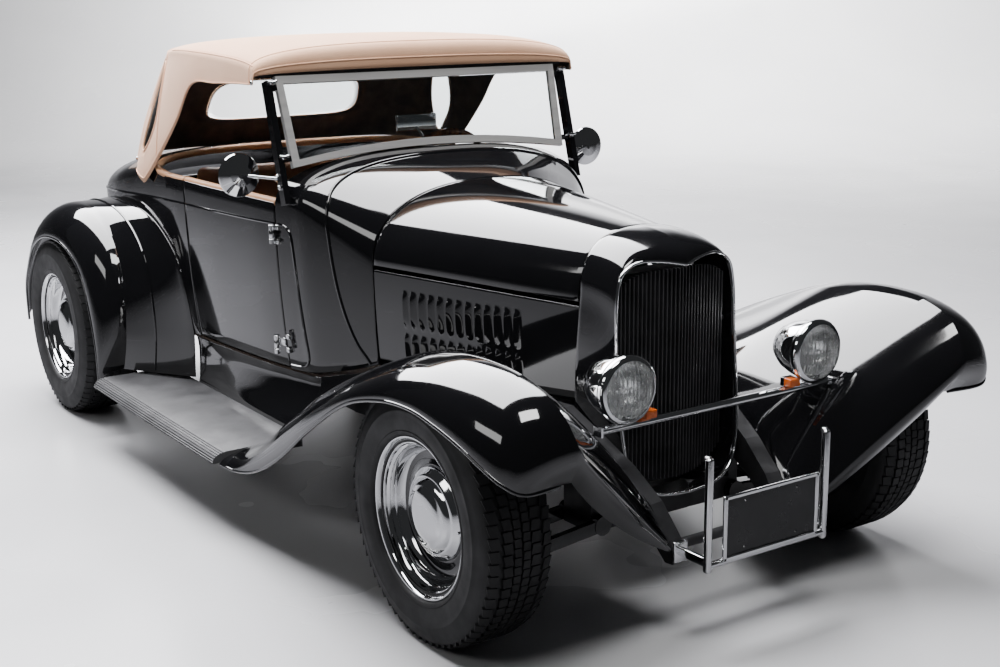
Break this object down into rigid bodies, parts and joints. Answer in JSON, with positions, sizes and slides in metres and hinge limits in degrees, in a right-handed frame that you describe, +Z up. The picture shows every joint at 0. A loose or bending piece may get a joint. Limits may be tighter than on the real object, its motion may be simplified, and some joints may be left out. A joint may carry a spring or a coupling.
{
  "type": "hot rod roadster",
  "caption": "Open two-seat roadster with a fabric folding top, long louvred hood, upright grille shell, full fenders, running boards and wide tyres.",
  "frame": {"origin": "centre of the footprint, on the ground under the tyres", "axes": "+X towards the front of the car, +Y to its left, +Z up"},
  "size_m": [3.592, 1.76, 1.4662],
  "materials": {
    "dark_steel": "satin black",
    "cast_iron": "rough",
    "black_paint": "gloss",
    "board_rubber": "matte ribbed",
    "chrome": "polished",
    "clear_glass": "clear",
    "canvas": "woven",
    "tan_leather": "soft sheen",
    "amber": "clear coloured",
    "red_lens": "clear coloured",
    "plate_black": "satin",
    "wheel_wood": "varnished",
    "tyre": "matte"
  },
  "bodies": {
    "chassis": {"frame": "dark_steel", "front_suspension": "dark_steel", "rear_axle": "dark_steel", "engine_block": "cast_iron", "exhaust": "dark_steel", "radiator": "dark_steel", "radiator_shell": "black_paint", "grille": "dark_steel", "hood_sides": "black_paint", "cowl": "black_paint", "firewall": "black_paint", "rear_body": "black_paint", "floor_pan": "dark_steel", "front_fenders": "black_paint", "rear_fenders": "black_paint", "running_boards": "board_rubber", "splash_aprons": "black_paint", "windscreen_frame": "chrome", "windscreen_glass": "clear_glass", "windscreen_posts": "black_paint", "mirrors": "chrome", "soft_top": "canvas", "top_windows": "clear_glass", "top_bows": "dark_steel", "dashboard": "tan_leather", "steering_column": "dark_steel", "seat": "tan_leather", "headlight_bar": "chrome", "headlights": "chrome", "signal_lamps": "amber", "bumper_guards": "chrome", "number_plate": "plate_black", "tail_lamps": "red_lens"},
    "hood_top": {"hood_top": "black_paint"},
    "door_left": {"door_left": "black_paint"},
    "door_right": {"door_right": "black_paint"},
    "deck_lid": {"deck_lid": "black_paint"},
    "steering_wheel": {"steering_wheel": "wheel_wood"},
    "knuckle_left": {"knuckle_left": "dark_steel"},
    "knuckle_right": {"knuckle_right": "dark_steel"},
    "tie_rod": {"tie_rod": "dark_steel"},
    "wheel_front_left": {"tyre_front_left": "tyre", "rim_front_left": "chrome"},
    "wheel_front_right": {"tyre_front_right": "tyre", "rim_front_right": "chrome"},
    "wheel_rear_left": {"tyre_rear_left": "tyre", "rim_rear_left": "chrome"},
    "wheel_rear_right": {"tyre_rear_right": "tyre", "rim_rear_right": "chrome"}
  },
  "joints": [
    {"name": "steer_left", "type": "hinge", "parent": "chassis", "child": "knuckle_left", "pos_m": [1.286, 0.59, 0.333], "axis": [0, 0, 1], "range_deg": [-28, 28]},
    {"name": "steer_right", "type": "hinge", "parent": "chassis", "child": "knuckle_right", "pos_m": [1.286, -0.59, 0.333], "axis": [0, 0, 1], "range_deg": [-28, 28]},
    {"name": "tie_rod_pivot", "type": "hinge", "parent": "knuckle_right", "child": "tie_rod", "pos_m": [1.164, -0.59, 0.283], "axis": [0, 0, 1], "range_deg": [-28, 28]},
    {"name": "steering_wheel_turn", "type": "hinge", "parent": "chassis", "child": "steering_wheel", "pos_m": [-0.309, 0.3, 0.949], "axis": [-0.866, 0, 0.5], "range_deg": [-420, 420]},
    {"name": "wheel_front_left_spin", "type": "hinge", "parent": "knuckle_left", "child": "wheel_front_left", "pos_m": [1.286, 0.672, 0.333], "axis": [0, 1, 0], "continuous": true},
    {"name": "wheel_front_right_spin", "type": "hinge", "parent": "knuckle_right", "child": "wheel_front_right", "pos_m": [1.286, -0.672, 0.333], "axis": [0, 1, 0], "continuous": true},
    {"name": "wheel_rear_left_spin", "type": "hinge", "parent": "chassis", "child": "wheel_rear_left", "pos_m": [-1.344, 0.719, 0.343], "axis": [0, 1, 0], "continuous": true},
    {"name": "wheel_rear_right_spin", "type": "hinge", "parent": "chassis", "child": "wheel_rear_right", "pos_m": [-1.344, -0.719, 0.343], "axis": [0, 1, 0], "continuous": true},
    {"name": "door_left_hinge", "type": "hinge", "parent": "chassis", "child": "door_left", "pos_m": [0.1235, 0.571, 0.7], "axis": [0, 0, -1], "range_deg": [0, 65]},
    {"name": "door_right_hinge", "type": "hinge", "parent": "chassis", "child": "door_right", "pos_m": [0.1235, -0.571, 0.7], "axis": [0, 0, 1], "range_deg": [0, 65]},
    {"name": "hood_hinge", "type": "hinge", "parent": "chassis", "child": "hood_top", "pos_m": [0.479, 0, 1.045], "axis": [0, -1, 0], "range_deg": [0, 50]},
    {"name": "deck_lid_hinge", "type": "hinge", "parent": "chassis", "child": "deck_lid", "pos_m": [-1.157, 0, 1.037], "axis": [0, 1, 0], "range_deg": [0, 60]}
  ],
  "couplings": [
    {"joint": "steer_right", "follows": "steer_left", "ratio": 1},
    {"joint": "tie_rod_pivot", "follows": "steer_left", "ratio": -1},
    {"joint": "steering_wheel_turn", "follows": "steer_left", "ratio": 15}
  ]
}
